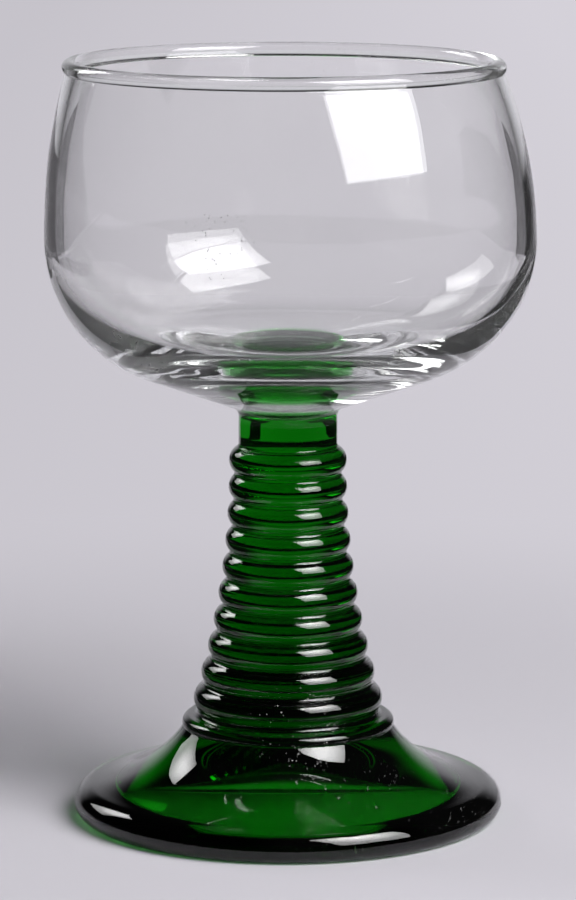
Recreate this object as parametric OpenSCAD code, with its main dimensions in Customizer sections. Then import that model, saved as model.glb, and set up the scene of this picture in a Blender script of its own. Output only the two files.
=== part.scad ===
// Roemer wine glass: a clear bowl on a solid green stem of stacked rings, on a wide green foot.
// Millimetres, +Z up, origin on the axis in the plane that the foot stands on.
// The pieces are turned about Z and meet face to face: stem on foot, and bowl over the plug on the stem.

/* [Foot] */
// Widest diameter of the foot
foot_d = 74.2; // [66:0.2:90]
// Radius of the upper half of the foot's rounded edge
edge_top_r = 3.4; // [2.6:0.1:6]
// Radius of the lower half of the foot's rounded edge
edge_low_r = 2.4; // [1:0.1:4]
// Radius of the hollow curve from the ledge down to the foot's edge
flare_r = 22; // [18:0.2:60]
// Diameter of the conical recess under the foot
recess_d = 57; // [30:0.5:64]
// Slope of that recess
recess_slope = 26; // [4:1:28]
// Radius of its rounded tip
recess_tip_r = 16; // [4:0.5:30]

/* [Ledge] */
// Height of the ledge's flat top above the table
ledge_h = 17.6; // [14:0.1:24]
// How far the ledge stands out past the bottom of the stem
ledge_step = 2.7; // [2.2:0.1:6]
// Radius of the ledge's rounded edge
ledge_edge_r = 1.3; // [0.4:0.1:1.6]
// Angle that the ledge's edge turns under before the flare starts
ledge_turn = 32; // [10:1:60]

/* [Stem] */
// Number of rings on the stem
ring_count = 10; // [5:1:14]
// Height from one ring to the next
ring_pitch = 4.64; // [4:0.02:5.2]
// Radius of the rounding of a ring
ring_r = 2.6; // [2.4:0.05:3.2]
// Radius of the rounding at the bottom of a groove
groove_r = 0.84; // [0.4:0.02:1.4]
// Diameter over the top ring
top_ring_d = 20.3; // [18.6:0.1:23]
// Radius of the long curve that the rings follow as they widen downwards
spread_r = 143.5; // [80:0.5:400]
// Height of the middle of the lowest ring above the ledge
ring_base = 2.9; // [2.2:0.1:3.1]
// Diameter of the plain neck, and of the bowl's collar on it
neck_d = 17; // [15.4:0.1:19]
// Height of the neck from the middle of the top ring to the bowl
neck_h = 6.7; // [4:0.1:14]
// Height of the plug on the neck that goes up into the bowl's base
plug_h = 6; // [2:0.2:8]
// How far the plug is set in from the side of the neck
plug_inset = 0.8; // [0.5:0.1:3]

/* [Bowl] */
// Widest diameter of the bowl
belly_d = 84; // [79:0.5:96]
// Height of the bowl's side from the belly to the top of the rim
side_h = 30.2; // [18:0.2:50]
// Radius of the rounded corner between the side and the underside
corner_r = 25; // [16:0.5:30]
// Slope of the underside
underside_slope = 20; // [10:1:32]
// Radius of the fillet between the underside and the collar
collar_fillet = 2; // [0.6:0.1:5]
// Height of the straight collar above the seal
collar_h = 0.8; // [0.3:0.1:5]
// Widest diameter of the rolled rim
rim_d = 75.4; // [64:0.2:80]
// Thickness of the rolled rim
rim_t = 2.7; // [1.6:0.1:4]
// How far the rim stands out past the side at the middle of its roll
rim_proud = 0.7; // [0.2:0.05:1.2]

/* [Inside] */
// Thickness of the side at the belly
belly_wall = 1.9; // [1.4:0.1:5]
// Thickness of the glass between the bowl's floor and the seal
floor_t = 12.5; // [9:0.1:22]

/* [Hidden] */
$fn = 360;
CLEAR = [0.86, 0.88, 0.9, 0.45];
GREEN = [0.02, 0.3, 0.06, 0.9];

// Point at distance a from p and b from q, to the left of the way from p to q
function apex(p, q, a, b) =
    let (d = norm(q - p))
    let (along = (q - p) / d)
    let (x = (a * a - b * b + d * d) / (2 * d))
    p + x * along + sqrt(a * a - x * x) * [-along[1], along[0]];

// Point at distance d from p in the direction of an angle
function polar(p, d, angle) = p + d * [cos(angle), sin(angle)];

// Point at distance d from p on the way to q
function towards(p, q, d) = p + d * (q - p) / norm(q - p);

// Stack of heights: the ring numbered 0 is the top one, and the last is the lowest.
last_ring = ring_count - 1;
foot_h = ledge_h + groove_r;
top_ring_z = ledge_h + ring_base + last_ring * ring_pitch;
seal_z = top_ring_z + neck_h;

// Rings and grooves of the stem
neck_r = neck_d / 2;
plug_r = neck_r - plug_inset;
plug_z = seal_z + plug_h;
ring_gap = ring_r + groove_r;
function ring_out(k) = top_ring_d / 2 + spread_r - sqrt(pow(spread_r, 2) - pow(k * ring_pitch, 2));
function ring_centre(k) = [ring_out(k) - ring_r, top_ring_z - k * ring_pitch];
function groove_centre(k) = apex(ring_centre(k), ring_centre(k + 1), ring_gap, ring_gap);
rings = [for (k = [0 : last_ring]) ring_centre(k)];
grooves = [for (k = [0 : last_ring - 1]) groove_centre(k)];
neck_groove_r = neck_r + groove_r;
neck_groove = [neck_groove_r, top_ring_z + sqrt(pow(ring_gap, 2) - pow(neck_groove_r - rings[0][0], 2))];
base_groove = [rings[last_ring][0] + sqrt(pow(ring_gap, 2) - pow(ring_base - groove_r, 2)), foot_h];
seat_r = base_groove[0] - groove_r;

// Ledge and flare of the foot
foot_r = foot_d / 2;
ledge_edge = [seat_r + ledge_step - ledge_edge_r, ledge_h - ledge_edge_r];
flare_start = polar(ledge_edge, ledge_edge_r, -ledge_turn);
edge_low = [foot_r - edge_low_r, edge_low_r];
edge_top = [foot_r - edge_top_r, edge_low_r];
flare = apex(flare_start, edge_top, flare_r, flare_r + edge_top_r);
flare_end = towards(edge_top, flare, edge_top_r);
recess_r = recess_d / 2;
tip_end_r = recess_tip_r * sin(recess_slope);
tip_end = [tip_end_r, (recess_r - tip_end_r) * tan(recess_slope)];
tip_mid = polar(tip_end, recess_tip_r, -90 - recess_slope);

// Outside of the bowl, from the collar up to the belly
belly_r = belly_d / 2;
corner_mid_r = belly_r - corner_r;
corner_end_r = corner_mid_r + corner_r * sin(underside_slope);
fillet_mid_r = neck_r + collar_fillet;
underside_rise = (corner_end_r - fillet_mid_r) * tan(underside_slope) + collar_fillet / cos(underside_slope);
fillet_mid = [fillet_mid_r, seal_z + collar_h];
fillet_end = polar(fillet_mid, collar_fillet, 90 + underside_slope);
corner_end = [corner_end_r, fillet_mid[1] + underside_rise];
corner_mid = [corner_mid_r, corner_end[1] + corner_r * cos(underside_slope)];
belly_z = corner_mid[1];

// Rim and the two curves of the side that run up to it. A radius below zero bends outwards.
rim_r = rim_t / 2;
rim_mid = [rim_d / 2 - rim_r, belly_z + side_h - rim_r];
rise = rim_mid[1] - belly_z;
side_in = belly_r - rim_d / 2 + rim_proud;
side_r = (pow(rise, 2) + pow(side_in, 2)) / (2 * side_in);

// Inside of the bowl. Its side cuts a hair into the roll of the rim, so that the two fuse.
rim_lap = 0.03;
rim_hold_r = rim_r - rim_lap;
inner_r = belly_r - belly_wall;
floor_z = seal_z + floor_t;
inner_corner_r = belly_z - floor_z;
inner_in = inner_r - rim_mid[0];
inner_side_r = (pow(inner_in, 2) + pow(rise, 2) - pow(rim_hold_r, 2)) / (2 * (rim_hold_r + inner_in));
inner_side_mid = [inner_r - inner_side_r, belly_z];
wall_top = towards(inner_side_mid, rim_mid, abs(inner_side_r))[1];

// Length by which an outline runs on past another that it is joined to or cut from
lap = rim_t;

// Part of a round disc that lies between two heights, on the outer side of the axis
module disc_between(middle, r, low, high) {
    intersection() {
        translate(middle) circle(r);
        translate([0, low]) square([middle[0] + r, high - low]);
    }
}

module foot_edge_section() {
    translate(edge_low) circle(edge_low_r);
    disc_between(edge_top, edge_top_r, edge_low_r, edge_low_r + edge_top_r);
}

module ledge_section() {
    translate(ledge_edge) circle(ledge_edge_r);
    translate([0, ledge_edge[1]]) square([ledge_edge[0], ledge_edge_r]);
    difference() {
        polygon([[0, ledge_edge[1]], [base_groove[0], ledge_edge[1]], base_groove, [0, foot_h]]);
        translate(base_groove) circle(groove_r);
    }
}

module recess_section() {
    polygon([[0, -lap], [recess_r + lap / tan(recess_slope), -lap], tip_end, [0, tip_end[1]]]);
    disc_between(tip_mid, recess_tip_r, 0, tip_end[1] + recess_tip_r);
}

module foot() {
    color(GREEN) rotate_extrude() difference() {
        union() {
            difference() {
                polygon([
                    [0, 0],
                    [edge_low[0], 0],
                    edge_low,
                    edge_top,
                    flare_end,
                    flare_start,
                    ledge_edge,
                    [0, ledge_edge[1]]
                ]);
                translate(flare) circle(flare_r);
            }
            foot_edge_section();
            ledge_section();
        }
        recess_section();
    }
}

module ring_stack_section() {
    inner_line = [for (k = [last_ring : -1 : 0]) each (k > 0 ? [rings[k], grooves[k - 1]] : [rings[k]])];
    difference() {
        union() {
            polygon(concat(
                [[0, foot_h], base_groove],
                inner_line,
                [neck_groove, [neck_r, neck_groove[1]], [neck_r, seal_z]],
                [[plug_r, seal_z], [plug_r, plug_z], [0, plug_z]]
            ));
            for (middle = rings) disc_between(middle, ring_r, foot_h, seal_z);
        }
        for (middle = concat(grooves, [neck_groove, base_groove])) translate(middle) circle(groove_r);
    }
}

module stem() {
    color(GREEN) rotate_extrude() ring_stack_section();
}

// What lies inside a side that starts upright at the belly and bends in by a radius, or out if below zero
module side_section(start_r, bend_r, high) {
    middle = [start_r - bend_r, belly_z];
    if (bend_r > 0) {
        disc_between(middle, bend_r, belly_z, high);
    } else {
        difference() {
            translate([0, belly_z]) square([middle[0], high - belly_z]);
            translate(middle) circle(-bend_r);
        }
    }
}

module bowl_outside_section() {
    side_section(belly_r, side_r, wall_top);
    disc_between(corner_mid, corner_r, corner_end[1], belly_z + lap);
    difference() {
        polygon([
            [0, seal_z],
            [neck_r, seal_z],
            [neck_r, fillet_mid[1]],
            fillet_mid,
            fillet_end,
            corner_end,
            [corner_end[0], belly_z],
            [0, belly_z]
        ]);
        translate(fillet_mid) circle(collar_fillet);
    }
}

module bowl_inside_section() {
    inner_corner_mid = [inner_r - inner_corner_r, belly_z];
    side_section(inner_r, inner_side_r, wall_top + lap);
    disc_between(inner_corner_mid, inner_corner_r, floor_z, belly_z + lap);
    translate([0, floor_z]) square([inner_corner_mid[0], inner_corner_r + lap]);
}

module socket_section() {
    translate([0, seal_z - lap]) square([plug_r, plug_h + lap]);
}

module bowl() {
    color(CLEAR) rotate_extrude() {
        difference() {
            bowl_outside_section();
            bowl_inside_section();
            socket_section();
        }
        translate(rim_mid) circle(rim_r);
    }
}

foot();
stem();
bowl();
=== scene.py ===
# %% [markdown]
# # A roemer: clear bowl, green ringed stem, green foot
#
# A roemer is a wine glass with a wide bowl on a thick stem of stacked rings. The three pieces are
# made apart and joined while they are hot, so there is no seam to see, only a change of colour.
# The imported model is the frame: everything here is placed in its coordinates, in metres. Its box is
# kept.

# %% Load the frame
import math

import bmesh
import bpy
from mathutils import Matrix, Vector, noise


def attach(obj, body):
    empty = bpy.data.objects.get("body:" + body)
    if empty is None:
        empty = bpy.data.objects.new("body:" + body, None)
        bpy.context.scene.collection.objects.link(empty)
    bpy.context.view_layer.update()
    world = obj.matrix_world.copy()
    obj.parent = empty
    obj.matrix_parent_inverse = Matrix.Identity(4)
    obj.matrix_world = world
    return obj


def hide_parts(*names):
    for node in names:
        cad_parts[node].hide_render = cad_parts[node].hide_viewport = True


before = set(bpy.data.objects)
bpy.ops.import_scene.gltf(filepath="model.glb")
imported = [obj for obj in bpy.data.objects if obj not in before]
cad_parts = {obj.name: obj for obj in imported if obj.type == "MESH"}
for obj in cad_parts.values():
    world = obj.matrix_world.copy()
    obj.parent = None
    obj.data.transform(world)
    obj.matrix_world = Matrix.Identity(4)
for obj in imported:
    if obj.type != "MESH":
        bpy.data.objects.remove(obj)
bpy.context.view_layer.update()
MM = 0.001
print("nodes:", sorted(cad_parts))

# %% [markdown]
# ## Heights
#
# The foot carries the stem, and the stem carries the bowl. These are the sizes of the solids, in
# millimetres, that more than one piece needs: from them follow the heights at which the pieces meet.
# The solids could be shown as they are, but glass shows every bump of a coarse mesh as a ripple in
# what is seen through it. So each piece is made again from its sizes, with close and even rows.

# %% Heights in millimetres
ledge_h = 17.6
groove_r = 0.84
ring_base = 2.9
ring_count = 10
ring_pitch = 4.64
neck_r = 8.5
neck_h = 6.7
plug_h = 6.0
plug_inset = 0.8

foot_h = ledge_h + groove_r
top_ring_z = ledge_h + ring_base + (ring_count - 1) * ring_pitch
seal_z = top_ring_z + neck_h
print("stem stands at", round(foot_h, 2), "mm, bowl at", round(seal_z, 2), "mm")

# %% [markdown]
# ## Outlines
#
# Every piece is round, so each is half an outline turned about the axis, as on a lathe. An outline
# could be drawn as a curve by hand. Here it is a list of points (radius, height) that is worked out
# from the sizes, from the axis at the bottom, up the outside and back to the axis. A curve is cut
# into short steps by length and by angle, so that small roundings get as many points as they need
# and long curves don't get more.

# %% Helpers for outlines
deg = math.radians
LONGEST_STEP = 0.9
LARGEST_TURN = deg(6.0)
SAME_POINT = 1e-6


def polar(p, d, angle):
    return (p[0] + d * math.cos(angle), p[1] + d * math.sin(angle))


def apex(p, q, a, b):
    """Point at distance a from p and b from q, to the left of the way from p to q."""
    d = math.dist(p, q)
    along = ((q[0] - p[0]) / d, (q[1] - p[1]) / d)
    x = (a * a - b * b + d * d) / (2 * d)
    y = math.sqrt(a * a - x * x)
    return (p[0] + x * along[0] - y * along[1], p[1] + x * along[1] + y * along[0])


def angle_to(p, q):
    return math.atan2(q[1] - p[1], q[0] - p[0])


def arc(middle, r, start, end):
    """Points of an arc, both ends included, turning the way from start to end."""
    sweep = end - start
    by_turn = math.ceil(abs(sweep) / LARGEST_TURN)
    by_length = math.ceil(abs(sweep) * r / LONGEST_STEP)
    steps = max(2, by_turn, by_length)
    return [polar(middle, r, start + sweep * i / steps) for i in range(steps + 1)]


def line(p, q):
    """Points of a straight run, both ends included."""
    steps = max(1, math.ceil(math.dist(p, q) / LONGEST_STEP))
    out, up = q[0] - p[0], q[1] - p[1]
    return [(p[0] + out * i / steps, p[1] + up * i / steps) for i in range(steps + 1)]


def joined(*runs):
    """One outline from several runs, without the points that two runs share."""
    points = []
    for run in runs:
        for p in run:
            if not points or math.dist(points[-1], p) > SAME_POINT:
                points.append(p)
    return points


print("curves turn by at most", round(math.degrees(LARGEST_TURN), 1), "degrees a step")

# %% [markdown]
# ## Turning an outline into glass
#
# A Screw modifier could turn the outline. Building the mesh row by row is chosen, because each point
# can then move a little by itself: hot-worked glass is never quite round, and a slow wave of a few
# hundredths of a millimetre makes its reflections look like glass and not like plastic.
#
# Where two pieces are melted together, no surface is left between them. A gap there would act as a
# mirror. So the pieces overlap by a hair at each seal, and the faces of the seal are marked, for the
# glass below to let light pass through them.

# %% Lathe
TURNS = 256
SEAL_LAP = 0.01
WAVE = 0.05
WAVES_AROUND = 1.7
WAVES_UP = 0.045
SHARP_TURN = deg(40)


def ring_of_points(bm, r, z, shift, seed):
    """One row of the mesh, or a single point where the outline meets the axis."""
    if r < SAME_POINT:
        return [bm.verts.new((shift * MM, 0, z * MM))]
    row = []
    for i in range(TURNS):
        turn = 2 * math.pi * i / TURNS
        c, s = math.cos(turn), math.sin(turn)
        bump = WAVE * noise.noise(Vector((c * WAVES_AROUND + seed, s * WAVES_AROUND, z * WAVES_UP)))
        wavy_r = r + bump * min(1.0, r / neck_r)
        row.append(bm.verts.new(((wavy_r * c + shift) * MM, wavy_r * s * MM, z * MM)))
    return row


def cover_rows(bm, rows):
    """Faces between each row and the next, as triangles where one of them is a point."""
    for a, b in zip(rows, rows[1:]):
        for i in range(TURNS):
            j = (i + 1) % TURNS
            if len(a) == 1:
                bm.faces.new((a[0], b[j], b[i]))
            elif len(b) == 1:
                bm.faces.new((a[i], a[j], b[0]))
            else:
                bm.faces.new((a[i], a[j], b[j], b[i]))


def mark_seal(mesh, outline, seal):
    """A value on each face: 1 where the piece is melted to the next, else 0."""
    sealed = [p in seal for p in outline]
    shares = [float(a and b) for a, b in zip(sealed, sealed[1:]) for i in range(TURNS)]
    mesh.attributes.new("seal", "FLOAT", "FACE").data.foreach_set("value", shares)


def placed(name, data):
    piece = bpy.data.objects.new(name, data)
    bpy.context.scene.collection.objects.link(piece)
    return piece


def turned(name, outline, seal, seed, lean=lambda z: 0.0):
    """A closed mesh turned from an outline. Its middle leans aside by lean(z)."""
    bm = bmesh.new()
    cover_rows(bm, [ring_of_points(bm, r, z, lean(z), seed) for r, z in outline])
    bmesh.ops.recalc_face_normals(bm, faces=bm.faces)
    mesh = bpy.data.meshes.new(name)
    bm.to_mesh(mesh)
    bm.free()
    mesh.shade_smooth()
    mesh.set_sharp_from_angle(angle=SHARP_TURN)
    mark_seal(mesh, outline, seal)
    print(name, "has", len(mesh.polygons), "faces from", len(outline), "points")
    return placed(name, mesh)


print("each row has", TURNS, "points, and each piece reaches", SEAL_LAP, "mm past its seals")

# %% [markdown]
# ## Bowl
#
# The bowl is blown or pressed, and its rim is rolled over while it is hot. It could be a cut sphere
# with a Solidify modifier, but its wall isn't even: it is thin at the side, and so thick at the
# bottom that the stem's colour shows there in bands. So the outside and the inside have their own
# arcs. The outside runs from the collar over a small fillet along the sloping underside, round the
# corner and up the side. The inside comes back down to a flat floor high above the seal.

# %% Bowl: middles and radii of its arcs
belly_r = 42.0
side_h = 30.2
corner_r = 25.0
underside_slope = 20.0
collar_fillet = 2.0
collar_h = 0.8
rim_outer_r = 37.7
rim_t = 2.7
rim_proud = 0.7
belly_wall = 1.9
floor_t = 12.5

slope = deg(underside_slope)
corner_mid_r = belly_r - corner_r
corner_end_r = corner_mid_r + corner_r * math.sin(slope)
fillet_mid = (neck_r + collar_fillet, seal_z + collar_h)
underside_rise = (corner_end_r - fillet_mid[0]) * math.tan(slope)
corner_end_z = fillet_mid[1] + underside_rise + collar_fillet / math.cos(slope)
corner_mid = (corner_mid_r, corner_end_z + corner_r * math.cos(slope))
belly_z = corner_mid[1]
rim_r = rim_t / 2
rim_mid = (rim_outer_r - rim_r, belly_z + side_h - rim_r)
rise = rim_mid[1] - belly_z

side_in = belly_r - rim_outer_r + rim_proud
side_r = (rise**2 + side_in**2) / (2 * side_in)
side_mid = (belly_r - side_r, belly_z)

inner_r = belly_r - belly_wall
inner_in = inner_r - rim_mid[0]
inner_side_r = (inner_in**2 + rise**2 - rim_r**2) / (2 * (rim_r + inner_in))
inner_side_mid = (inner_r - inner_side_r, belly_z)
floor_z = seal_z + floor_t
inner_corner_r = belly_z - floor_z
inner_corner_mid = (inner_r - inner_corner_r, belly_z)
print("belly at", round(belly_z, 2), "mm, floor inside at", round(floor_z, 2), "mm")

# %% [markdown]
# The base of the bowl has a socket that the plug of the stem fills, so the seal is a step and not a
# flat disc. The bowl also leans: its belly stands a little to the right and its rim to the left, as
# in a bowl that was shaped by hand. A bend of the finished mesh could do that, but moving the middle
# of each row keeps the rows level and leaves the seal where it is.

# %% Bowl: outline and piece
BELLY_LEAN = 0.43
RIM_LEAN = -0.66


def seal_run(lap):
    """From the axis over the top and side of the plug and along the seat to the side of the neck."""
    top, side, seat = seal_z + plug_h + lap, neck_r - plug_inset + lap, seal_z + lap
    return joined(
        line((0, top), (side, top)),
        line((side, top), (side, seat)),
        line((side, seat), (neck_r, seat)),
    )


def bowl_lean(z):
    """How far the middle of the bowl stands aside at a height: nothing at the seal."""
    low = seal_z + plug_h + SEAL_LAP
    share = max(0.0, (z - low) / (rim_mid[1] - low))
    at_belly = (belly_z - low) / (rim_mid[1] - low)
    bend = (BELLY_LEAN - RIM_LEAN * at_belly) / (at_belly * (1 - at_belly))
    return share * (RIM_LEAN + bend * (1 - share))


# Where the outer side meets the roll of the rim
notch = apex(rim_mid, side_mid, rim_r, side_r)
wall_turn = angle_to(inner_side_mid, rim_mid)
bowl_seal = seal_run(-SEAL_LAP)
bowl_outline = joined(
    bowl_seal,
    line((neck_r, seal_z - SEAL_LAP), (neck_r, fillet_mid[1])),
    arc(fillet_mid, collar_fillet, deg(180), deg(90) + slope),
    arc(corner_mid, corner_r, slope - deg(90), 0),
    arc(side_mid, side_r, 0, angle_to(side_mid, notch)),
    arc(rim_mid, rim_r, angle_to(rim_mid, notch), wall_turn + deg(180)),
    arc(inner_side_mid, inner_side_r, wall_turn, 0),
    arc(inner_corner_mid, inner_corner_r, 0, -deg(90)),
    line((inner_corner_mid[0], floor_z), (0, floor_z)),
)
bowl = turned("roemer_bowl", bowl_outline, bowl_seal, seed=3.1, lean=bowl_lean)
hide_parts("bowl")
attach(bowl, "root")
print("bowl notch under the rim at", [round(v, 2) for v in notch])

# %% [markdown]
# ## Stem
#
# The stem is solid green glass. Ten rings stand on each other and grow towards the foot along a long
# curve. It could be a stack of tori, but those would meet in sharp creases. Here each pair of rings
# meets in a small rounded groove, an arc that touches both. Above the top ring is a plain neck, as
# wide as the bowl's collar, and a plug goes on up into the bowl.

# %% Stem: middles of the rings and grooves
ring_r = 2.6
top_ring_r = 10.15
spread_r = 143.5


def ring_middle(k):
    """The middle of a ring's arc, counted down from the top ring."""
    out = top_ring_r + spread_r - math.sqrt(spread_r**2 - (k * ring_pitch) ** 2)
    return (out - ring_r, top_ring_z - k * ring_pitch)


last = ring_count - 1
rings = [ring_middle(k) for k in range(ring_count)]
ring_gap = ring_r + groove_r
grooves = [apex(rings[k], rings[k + 1], ring_gap, ring_gap) for k in range(last)]
neck_groove_r = neck_r + groove_r
neck_groove_rise = math.sqrt(ring_gap**2 - (neck_groove_r - rings[0][0]) ** 2)
neck_groove = (neck_groove_r, top_ring_z + neck_groove_rise)
base_groove_out = math.sqrt(ring_gap**2 - (ring_base - groove_r) ** 2)
base_groove = (rings[last][0] + base_groove_out, foot_h)
seat_r = base_groove[0] - groove_r
print("lowest ring reaches", round(rings[last][0] + ring_r, 2), "mm, seat", round(seat_r, 2), "mm")

# %% [markdown]
# The outline climbs from the seat on the foot. At each ring it turns outwards round the ring, and
# then inwards round the groove above it, so one loop makes both.

# %% Stem: outline and piece
foot_seal = line((0, foot_h - SEAL_LAP), (seat_r, foot_h - SEAL_LAP))
stem_runs = [
    foot_seal,
    arc(base_groove, groove_r, math.pi, angle_to(base_groove, rings[last])),
]
turn_from = angle_to(rings[last], base_groove)
for k in range(last, -1, -1):
    above = grooves[k - 1] if k else neck_groove
    turn_to = angle_to(rings[k], above)
    stem_runs.append(arc(rings[k], ring_r, turn_from, turn_to))
    end = angle_to(above, rings[k - 1]) if k else math.pi
    if end < 0:
        end += 2 * math.pi
    stem_runs.append(arc(above, groove_r, turn_to + math.pi, end))
    turn_from = end - math.pi
stem_runs.append(line((neck_r, neck_groove[1]), (neck_r, seal_z + SEAL_LAP)))
plug_seal = seal_run(SEAL_LAP)[::-1]
stem_runs.append(plug_seal)
stem = turned("roemer_stem", joined(*stem_runs), foot_seal + plug_seal, seed=11.7)
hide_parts("stem")
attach(stem, "root")

# %% [markdown]
# ## Foot
#
# The foot is a flared disc of green glass. A ledge with a rounded edge carries the stem, a hollow
# curve runs down from it, and the thick edge is rounded twice. Underneath, a conical hollow with a
# rounded tip keeps the middle off the table, so that the glass stands on a ring and doesn't rock.
# The hollow also makes the glass thin, which is why its green is bright there. A cylinder with
# bevels could do, but arcs that touch each other leave no crease for a reflection to break at.

# %% Foot: middles of its arcs
foot_r = 37.1
edge_top_r = 3.4
edge_low_r = 2.4
flare_r = 22.0
recess_r = 28.5
recess_slope = deg(26.0)
recess_tip_r = 16.0
ledge_step = 2.7
ledge_edge_r = 1.3
ledge_turn = deg(32.0)

ledge_edge = (seat_r + ledge_step - ledge_edge_r, ledge_h - ledge_edge_r)
flare_start = polar(ledge_edge, ledge_edge_r, -ledge_turn)
edge_low = (foot_r - edge_low_r, edge_low_r)
edge_top = (foot_r - edge_top_r, edge_low_r)
flare = apex(flare_start, edge_top, flare_r, flare_r + edge_top_r)
flare_low = angle_to(flare, edge_top)
flare_high = angle_to(flare, flare_start)
tip_end_r = recess_tip_r * math.sin(recess_slope)
tip_end = (tip_end_r, (recess_r - tip_end_r) * math.tan(recess_slope))
tip_mid = polar(tip_end, recess_tip_r, -deg(90) - recess_slope)
print("flare turns from", round(math.degrees(flare_low)), "to", round(math.degrees(flare_high)), "degrees")

# %% Foot: outline and piece
ledge_seal = line((seat_r, foot_h + SEAL_LAP), (0, foot_h + SEAL_LAP))
foot_outline = joined(
    arc(tip_mid, recess_tip_r, deg(90), deg(90) - recess_slope),
    line(tip_end, (recess_r, 0)),
    line((recess_r, 0), (edge_low[0], 0)),
    arc(edge_low, edge_low_r, -deg(90), 0),
    arc(edge_top, edge_top_r, 0, angle_to(edge_top, flare)),
    arc(flare, flare_r, flare_low, flare_high),
    arc(ledge_edge, ledge_edge_r, -ledge_turn, deg(90)),
    line((ledge_edge[0], ledge_h), (base_groove[0], ledge_h)),
    arc(base_groove, groove_r, -deg(90), -deg(180)),
    ledge_seal,
)
foot = turned("roemer_foot", foot_outline, ledge_seal, seed=23.9)
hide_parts("foot")
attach(foot, "root")

# %% [markdown]
# ## Traces of use
#
# A glass from a cupboard carries dust and fine scratches. They could be painted on an image, but
# masks that are worked out stay sharp from near and need no file. A grain of dust is the middle of a
# Voronoi cell, in only some of the cells. A scratch is the crest of a noise that is stretched long.
# Both lie thick around a few places and thin elsewhere.

# %% Helpers for materials
def new_material(name):
    material = bpy.data.materials.new(name)
    material.use_nodes = True
    material.node_tree.nodes.clear()
    return material


def graded(tree, value, span, ends, smooth=True):
    """A level that goes from the first end to the second while the value crosses the span."""
    grade = tree.nodes.new("ShaderNodeMapRange")
    grade.interpolation_type = "SMOOTHSTEP" if smooth else "LINEAR"
    names = ("From Min", "From Max", "To Min", "To Max")
    for name, level in zip(names, (*span, *ends)):
        grade.inputs[name].default_value = level
    tree.links.new(value, grade.inputs["Value"])
    return grade.outputs["Result"]


# %% Masks of dust and scratches
DUST_CELLS = 1500
GRAIN = (0.12, 0.24)
GRAINS_THERE = (0.58, 0.62)
STREWN_SCALE = 38
STREWN = (0.60, 0.76)
STREWN_SHARE = 0.3
HAIR_STRETCH = (1400, 40, 1400)
HAIR_TURN = (0.4, 0.5, 0.9)
HAIR = (0.66, 0.74)
WORN_SCALE = 24
WORN = (0.56, 0.70)
WORN_SHARE = 0.5
FULL_WITHIN = 0.2


class Marks:
    """The traces of use on a piece: masks from 0 to 1 over its surface."""

    def __init__(self, tree):
        self.tree = tree
        self.place = tree.nodes.new("ShaderNodeTexCoord").outputs["Object"]

    def combine(self, operation, a, b):
        both = self.tree.nodes.new("ShaderNodeMath")
        both.operation = operation
        for socket, value in zip(both.inputs, (a, b)):
            if isinstance(value, float):
                socket.default_value = value
            else:
                self.tree.links.new(value, socket)
        return both.outputs["Value"]

    def noise(self, scale, detail, place=None):
        texture = self.tree.nodes.new("ShaderNodeTexNoise")
        texture.inputs["Scale"].default_value = scale
        texture.inputs["Detail"].default_value = detail
        self.tree.links.new(place or self.place, texture.inputs["Vector"])
        return texture.outputs["Fac"]

    def patches(self, scale, detail, span, ends):
        return graded(self.tree, self.noise(scale, detail), span, ends)

    def near(self, spots):
        """1 around the given points of the surface, each with its reach in metres."""
        whole = None
        for point, reach in spots:
            away = self.tree.nodes.new("ShaderNodeVectorMath")
            away.operation = "DISTANCE"
            away.inputs[1].default_value = point
            self.tree.links.new(self.place, away.inputs[0])
            spot = graded(self.tree, away.outputs["Value"], (FULL_WITHIN * reach, reach), (1, 0))
            whole = self.combine("MAXIMUM", whole, spot) if whole else spot
        return whole

    def dust(self, spots):
        cells = self.tree.nodes.new("ShaderNodeTexVoronoi")
        cells.inputs["Scale"].default_value = DUST_CELLS
        self.tree.links.new(self.place, cells.inputs["Vector"])
        grains = graded(self.tree, cells.outputs["Distance"], GRAIN, (1, 0))
        lying = self.patches(DUST_CELLS / 2, 0, GRAINS_THERE, (0, 1))
        strewn = self.patches(STREWN_SCALE, 2, STREWN, (0, STREWN_SHARE))
        where = self.combine("MAXIMUM", strewn, self.near(spots))
        return self.combine("MULTIPLY", self.combine("MULTIPLY", grains, lying), where)

    def scratches(self, spots):
        drawn = self.tree.nodes.new("ShaderNodeMapping")
        drawn.inputs["Scale"].default_value = HAIR_STRETCH
        drawn.inputs["Rotation"].default_value = HAIR_TURN
        self.tree.links.new(self.place, drawn.inputs["Vector"])
        hairs = graded(self.tree, self.noise(1, 2, drawn.outputs["Vector"]), HAIR, (0, 1))
        worn = self.patches(WORN_SCALE, 2, WORN, (0, WORN_SHARE))
        return self.combine("MULTIPLY", hairs, self.combine("MAXIMUM", worn, self.near(spots)))


print("a grain of dust is at most", round(2 * GRAIN[1] / DUST_CELLS / MM, 2), "mm across")

# %% [markdown]
# ## Surface of the glass
#
# Clean glass bends light and mirrors a little of it, and a Glass shader could do that. The
# Principled shader is chosen, because its transmission can give way to what lies on the surface: a
# thin film from washing, dust and scratches. Smudges make it a little rough in patches, and a faint
# ripple is left from the mould.

# %% Surface
IOR = 1.52
FILM_SCALE = 45
FILM = (0.35, 0.70)
SMUDGE_SCALE = 32
SMUDGE = (0.56, 0.75)
SMUDGE_ROUGHNESS = 0.02
RIPPLE_SCALE = 85
DUST_COVER = 0.7
SCRATCH_COVER = 0.25


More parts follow.
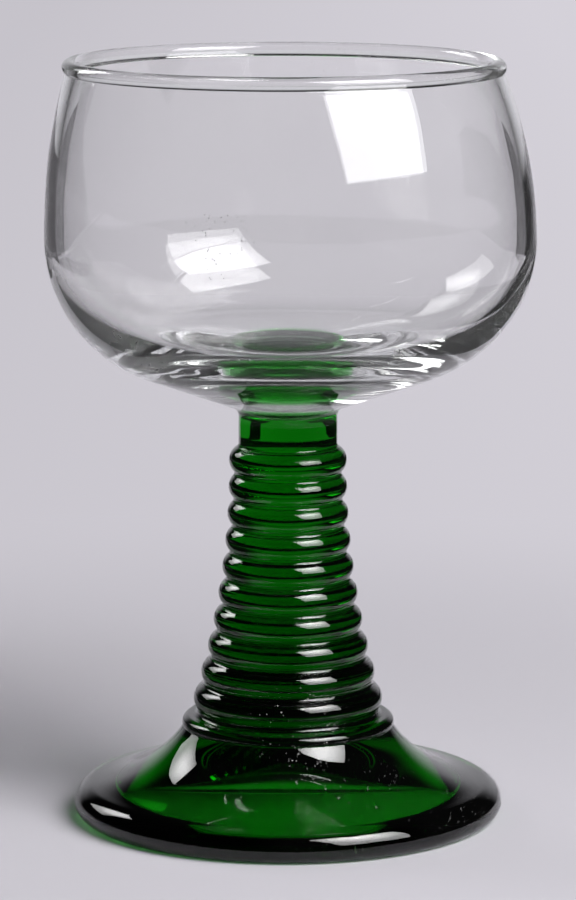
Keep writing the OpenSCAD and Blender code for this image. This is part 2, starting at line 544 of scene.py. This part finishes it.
def used_surface(tree, film, grime, ripple, dusty, rubbed):
    """Polished glass with a film, dust, hairline scratches and smudges on it."""
    shader = tree.nodes.new("ShaderNodeBsdfPrincipled")
    shader.inputs["IOR"].default_value = IOR
    marks = Marks(tree)
    dust = marks.dust(dusty)
    grains = marks.combine("MULTIPLY", dust, DUST_COVER)
    scratches = marks.combine("MULTIPLY", marks.scratches(rubbed), SCRATCH_COVER)
    haze = marks.patches(FILM_SCALE, 3, FILM, film)
    cover = marks.combine("ADD", haze, marks.combine("MAXIMUM", grains, scratches))
    tree.links.new(marks.combine("SUBTRACT", 1.0, cover), shader.inputs["Transmission Weight"])
    smudges = marks.patches(SMUDGE_SCALE, 3, SMUDGE, (0, SMUDGE_ROUGHNESS))
    tree.links.new(smudges, shader.inputs["Roughness"])

    colour = tree.nodes.new("ShaderNodeMix")
    colour.data_type = "RGBA"
    colour.inputs["A"].default_value = (1, 1, 1, 1)
    colour.inputs["B"].default_value = (*grime, 1)
    tree.links.new(dust, colour.inputs["Factor"])
    tree.links.new(colour.outputs["Result"], shader.inputs["Base Color"])

    bump = tree.nodes.new("ShaderNodeBump")
    bump.inputs["Distance"].default_value = ripple
    tree.links.new(marks.noise(RIPPLE_SCALE, 1), bump.inputs["Height"])
    tree.links.new(bump.outputs["Normal"], shader.inputs["Normal"])
    return shader.outputs["BSDF"]


print("index of refraction:", IOR)

# %% [markdown]
# ## Depth of the glass
#
# Green glass takes red and blue out of the light along its whole way through, so a thin neck is
# bright green and a thick foot nearly black. An absorbing volume does that, and no surface colour
# can. Light inside the glass passes the faces of a seal as if they weren't there.

# %% Glass materials
def open_at_seals(tree, surface):
    """The surface, but nothing at the seals for light that is on its way inside the glass."""
    seal = tree.nodes.new("ShaderNodeAttribute")
    seal.attribute_name = "seal"
    nothing = tree.nodes.new("ShaderNodeBsdfTransparent")
    inside = tree.nodes.new("ShaderNodeMixShader")
    tree.links.new(seal.outputs["Fac"], inside.inputs["Fac"])
    tree.links.new(surface, inside.inputs[1])
    tree.links.new(nothing.outputs["BSDF"], inside.inputs[2])
    path = tree.nodes.new("ShaderNodeLightPath")
    whole = tree.nodes.new("ShaderNodeMixShader")
    tree.links.new(path.outputs["Is Camera Ray"], whole.inputs["Fac"])
    tree.links.new(inside.outputs["Shader"], whole.inputs[1])
    tree.links.new(surface, whole.inputs[2])
    return whole.outputs["Shader"]


def glass(name, tint, density, **finish):
    """Glass that tints the light on its way through, with a used surface."""
    material = new_material(name)
    tree = material.node_tree
    out = tree.nodes.new("ShaderNodeOutputMaterial")
    depth = tree.nodes.new("ShaderNodeVolumeAbsorption")
    depth.inputs["Color"].default_value = (*tint, 1)
    depth.inputs["Density"].default_value = density
    tree.links.new(open_at_seals(tree, used_surface(tree, **finish)), out.inputs["Surface"])
    tree.links.new(depth.outputs["Volume"], out.inputs["Volume"])
    return material


clear_glass = glass(
    "clear_glass",
    tint=(0.7, 0.8, 0.74),
    density=3.0,
    film=(0.006, 0.022),
    grime=(0.10, 0.09, 0.09),
    ripple=0.00003,
    dusty=[((-0.0115, -0.040, 0.104), 0.009)],
    rubbed=[((0.0394, -0.0094, 0.1165), 0.006)],
)
green_glass = glass(
    "green_glass",
    tint=(0.06, 0.748, 0.078),
    density=380.0,
    film=(0.0, 0.001),
    grime=(0.75, 0.74, 0.70),
    ripple=0.000004,
    dusty=[((0.002, -0.0156, 0.0186), 0.010)],
    rubbed=[((0.0036, -0.0208, 0.012), 0.006)],
)
bowl.data.materials.append(clear_glass)
stem.data.materials.append(green_glass)
foot.data.materials.append(green_glass)
print("glasses:", clear_glass.name, "and", green_glass.name)

# %% [markdown]
# ## Floor
#
# The glass stands on a plain pale floor. Lamps alone could light it, but the light that glass throws
# on a floor takes very long to render, and without it the floor behind the glass would lie in a
# heavy shadow. So the floor is plain paper close to the glass, where its shadow is seen. Farther
# away it glows at its own colour in place of lamp light, and this painted light is a little brighter
# towards the right, where the right lamp stands.

# %% Floor
FLOOR_HALF = 3.0
PALE = (0.60, 0.58, 0.63)
FADE = (0.07, 0.28)
GLOW_ACROSS = (-0.15, 0.15)
PAINTED_LIGHT_SLANT = (0.94, 1.10)


def flat_floor():
    bm = bmesh.new()
    bmesh.ops.create_grid(bm, x_segments=1, y_segments=1, size=FLOOR_HALF)
    mesh = bpy.data.meshes.new("floor")
    bm.to_mesh(mesh)
    bm.free()
    return placed("floor", mesh)


def pale_floor():
    """Paper near the middle, which fades with distance into a glow of painted light, brighter to the
    right.
    """
    material = new_material("pale_floor")
    tree = material.node_tree
    out = tree.nodes.new("ShaderNodeOutputMaterial")
    paper = tree.nodes.new("ShaderNodeBsdfDiffuse")
    paper.inputs["Color"].default_value = (*PALE, 1)
    glow = tree.nodes.new("ShaderNodeEmission")
    glow.inputs["Color"].default_value = (*PALE, 1)
    spot = tree.nodes.new("ShaderNodeNewGeometry").outputs["Position"]
    parts = tree.nodes.new("ShaderNodeSeparateXYZ")
    tree.links.new(spot, parts.inputs["Vector"])
    # Painted lamp light: the glow rises towards the right, where the right lamp stands
    level = graded(tree, parts.outputs["X"], GLOW_ACROSS, PAINTED_LIGHT_SLANT, smooth=False)
    tree.links.new(level, glow.inputs["Strength"])
    away = tree.nodes.new("ShaderNodeVectorMath")
    away.operation = "LENGTH"
    tree.links.new(spot, away.inputs[0])
    which = tree.nodes.new("ShaderNodeMixShader")
    tree.links.new(graded(tree, away.outputs["Value"], FADE, (0, 1)), which.inputs["Fac"])
    tree.links.new(paper.outputs["BSDF"], which.inputs[1])
    tree.links.new(glow.outputs["Emission"], which.inputs[2])
    tree.links.new(which.outputs["Shader"], out.inputs["Surface"])
    return material


floor = flat_floor()
floor.data.materials.append(pale_floor())
print("floor is paper up to", FADE[0], "m and glows from", FADE[1], "m")

# %% [markdown]
# ## Cards
#
# Clear glass on a pale ground has no edges of its own: it shows what it bends and mirrors. So dark
# cards are laid around it, which the camera itself doesn't see, and they draw dark lines along its
# sides. One large card with a window in it could do, but it would blacken the bowl from the other
# sides. So the cards at the front and sides are only seen in mirrors, and only two small ones and
# the two far ones are also seen through the glass.

# %% Cards
CARD_Z = 0.001
DARK = 0.02
DIM = 0.14
FRONT_Y = -0.045
FAR_Y = 0.42
LEFT_END_Y = 0.37
END = FLOOR_HALF


def card(name, corners, level, through=True):
    """A card on the floor that only mirrors and, if through, glass see."""
    mesh = bpy.data.meshes.new(name)
    mesh.from_pydata([(x, y, CARD_Z) for x, y in corners], [], [tuple(range(len(corners)))])
    piece = placed(name, mesh)
    material = new_material(name)
    tree = material.node_tree
    out = tree.nodes.new("ShaderNodeOutputMaterial")
    glow = tree.nodes.new("ShaderNodeEmission")
    glow.inputs["Color"].default_value = (*PALE, 1)
    glow.inputs["Strength"].default_value = level
    tree.links.new(glow.outputs["Emission"], out.inputs["Surface"])
    mesh.materials.append(material)
    piece.visible_camera = False
    piece.visible_diffuse = False
    piece.visible_shadow = False
    piece.visible_transmission = through


# The edges of the side cards beside the glass, and the outer edge of the near card on the right
left_edge = [(-0.06, FRONT_Y), (-0.08, 0.05), (-0.25, LEFT_END_Y)]
right_edge = [(0.18, FAR_Y), (0.10, 0.2), (0.08, 0.05), (0.06, FRONT_Y)]
near_edge = [(0.2, FRONT_Y), (0.2, 0.2), (0.3, FAR_Y)]

front = [(-END, -END), (END, -END), (END, FRONT_Y), (-END, FRONT_Y)]
card("front_card", front, DARK, through=False)
card("left_card", [(-END, FRONT_Y), *left_edge, (-END, LEFT_END_Y)], DARK, through=False)
card("right_card", [(END, FRONT_Y), (END, FAR_Y), *right_edge], DARK, through=False)
card("right_near", [*near_edge, *right_edge], DARK)
card("left_near", [(-0.25, 0.1), (-0.25, FAR_Y), (-0.4, FAR_Y), (-0.4, 0.1)], DARK)
card("right_far", [(0.157, 0.5), (0.16, FAR_Y), (END, FAR_Y), (END, END), (0.75, END)], DARK)
card("left_far", [(-0.157, 0.5), (-0.75, END), (-END, END), (-END, FAR_Y), (-0.2, FAR_Y)], DIM)
print("cards lie", CARD_Z, "m above the floor")

# %% [markdown]
# ## Lamps
#
# Two soft boxes light the glass, one in front on the right and one behind on the left. Each could be
# one area lamp, but a lamp that is bright enough to show on the rings would burn out the floor. So
# each is two lamps in one place: a plain one that lights the floor, and a brighter one that only
# mirrors and glass see. The cloth of the bright one is hottest over the bulb, which isn't quite in
# its middle, and gives the window shapes on the glass.

# %% Lamps
HOT_SPOT = (0.5, 0.78, 0)
HOT_REACH = 0.65
EDGE_SHARE = 0.28
AIM = Vector((0, 0, 0.05))
LAMP_GAP = 0.02
# An area lamp's radiance is a quarter of its power for each square metre
POWER_FOR_RADIANCE = 4


def hot_cloth(lamp):
    """The cloth of a soft box, brightest over the bulb."""
    lamp.use_nodes = True
    tree = lamp.node_tree
    cloth = tree.nodes.new("ShaderNodeNewGeometry")
    away = tree.nodes.new("ShaderNodeVectorMath")
    away.operation = "DISTANCE"
    away.inputs[1].default_value = HOT_SPOT
    tree.links.new(cloth.outputs["Parametric"], away.inputs[0])
    level = graded(tree, away.outputs["Value"], (0, HOT_REACH), (1, EDGE_SHARE))
    tree.links.new(level, tree.nodes["Emission"].inputs["Strength"])


def soft_box(name, azimuth, elevation, distance, width, height, radiance, mirrored):
    """Two lamps, one close before the other: one lights the floor, and glass shows the other."""
    a, e = deg(azimuth), deg(elevation)
    way = Vector((math.sin(a) * math.cos(e), -math.cos(a) * math.cos(e), math.sin(e)))
    for role, level, away in (("lights", radiance, distance + LAMP_GAP), ("shows", mirrored, distance)):
        data = bpy.data.lights.new(f"{name}_{role}", "AREA")
        data.shape = "RECTANGLE"
        data.size = width
        data.size_y = height
        data.energy = level * POWER_FOR_RADIANCE * width * height
        if role == "shows":
            hot_cloth(data)
        lamp = placed(f"{name}_{role}", data)
        lamp.location = AIM + away * way
        lamp.rotation_euler = (-way).to_track_quat("-Z", "Y").to_euler()
        lamp.visible_camera = False
        lamp.visible_diffuse = role == "lights"
        lamp.visible_glossy = role == "shows"
        lamp.visible_transmission = role == "shows"
    print(name, "stands", distance, "m away at", azimuth, "degrees")


soft_box(
    "right_box",
    azimuth=48,
    elevation=36.5,
    distance=1.15,
    width=0.88,
    height=0.9,
    radiance=7.6,
    mirrored=15.0,
)
soft_box(
    "left_box",
    azimuth=-131,
    elevation=27,
    distance=1.15,
    width=0.40,
    height=0.52,
    radiance=2.6,
    mirrored=7.0,
)

# %% [markdown]
# ## Room
#
# The rest of the room is dim. A bright room would be simpler, but the dark rings would mirror it and
# turn grey. Only a pale wall stands low behind the glass, where the floor ends.

# %% Room
WALL_TOP = (0.22, 0.42)
WALL_SIDE = (0.80, 0.97)
WALL_LEVEL = 0.65
ROOM_LEVEL = 0.006
ROOM_COLOUR = (0.95, 0.94, 1.0)


def room():
    """A dim room with a pale wall low behind the glass."""
    world = bpy.data.worlds.new("room")
    world.use_nodes = True
    tree = world.node_tree
    back = tree.nodes["Background"]
    way = tree.nodes.new("ShaderNodeTexCoord")
    parts = tree.nodes.new("ShaderNodeSeparateXYZ")
    tree.links.new(way.outputs["Generated"], parts.inputs["Vector"])
    wall = tree.nodes.new("ShaderNodeMath")
    wall.operation = "MULTIPLY"
    tree.links.new(graded(tree, parts.outputs["Z"], WALL_TOP, (1, 0)), wall.inputs[0])
    tree.links.new(graded(tree, parts.outputs["Y"], WALL_SIDE, (0, 1)), wall.inputs[1])
    level = graded(tree, wall.outputs["Value"], (0, 1), (ROOM_LEVEL, WALL_LEVEL), smooth=False)
    tree.links.new(level, back.inputs["Strength"])
    back.inputs["Color"].default_value = (*ROOM_COLOUR, 1)
    return world


bpy.context.scene.world = room()
print("room at", ROOM_LEVEL, "and wall at", WALL_LEVEL)

# %% [markdown]
# ## Camera
#
# The camera is a long lens a little above the rim, so that the mouth is a narrow ellipse and the
# foot a wider one. Its height and distance could be guessed, but they follow from those two ellipses.

# %% Camera
FRAME_H = 900
FOCAL_PIXELS = 4430
SENSOR = 24.0
CAMERA_PLACE = (0, -0.750, 0.193)
CAMERA_DROP = 9.77
NEAREST = 0.05

lens = bpy.data.cameras.new("camera")
lens.sensor_fit = "VERTICAL"
lens.sensor_height = SENSOR
lens.lens = FOCAL_PIXELS * SENSOR / FRAME_H
lens.clip_start = NEAREST
camera = placed("camera", lens)
camera.location = CAMERA_PLACE
camera.rotation_euler = (deg(90 - CAMERA_DROP), 0, 0)
bpy.context.scene.camera = camera
bpy.context.scene.view_settings.view_transform = "Standard"
print("lens of", round(lens.lens, 1), "mm, looking", CAMERA_DROP, "degrees down")

# %% [markdown]
# ## Bounces
#
# Light runs round inside thick glass and leaves it after many turns. With too few bounces allowed,
# the thick corner of the bowl would go black.

# %% Bounces
BOUNCES = 40
cycles = bpy.context.scene.cycles
cycles.max_bounces = BOUNCES
cycles.glossy_bounces = BOUNCES
cycles.transmission_bounces = BOUNCES
print("light may turn", BOUNCES, "times")
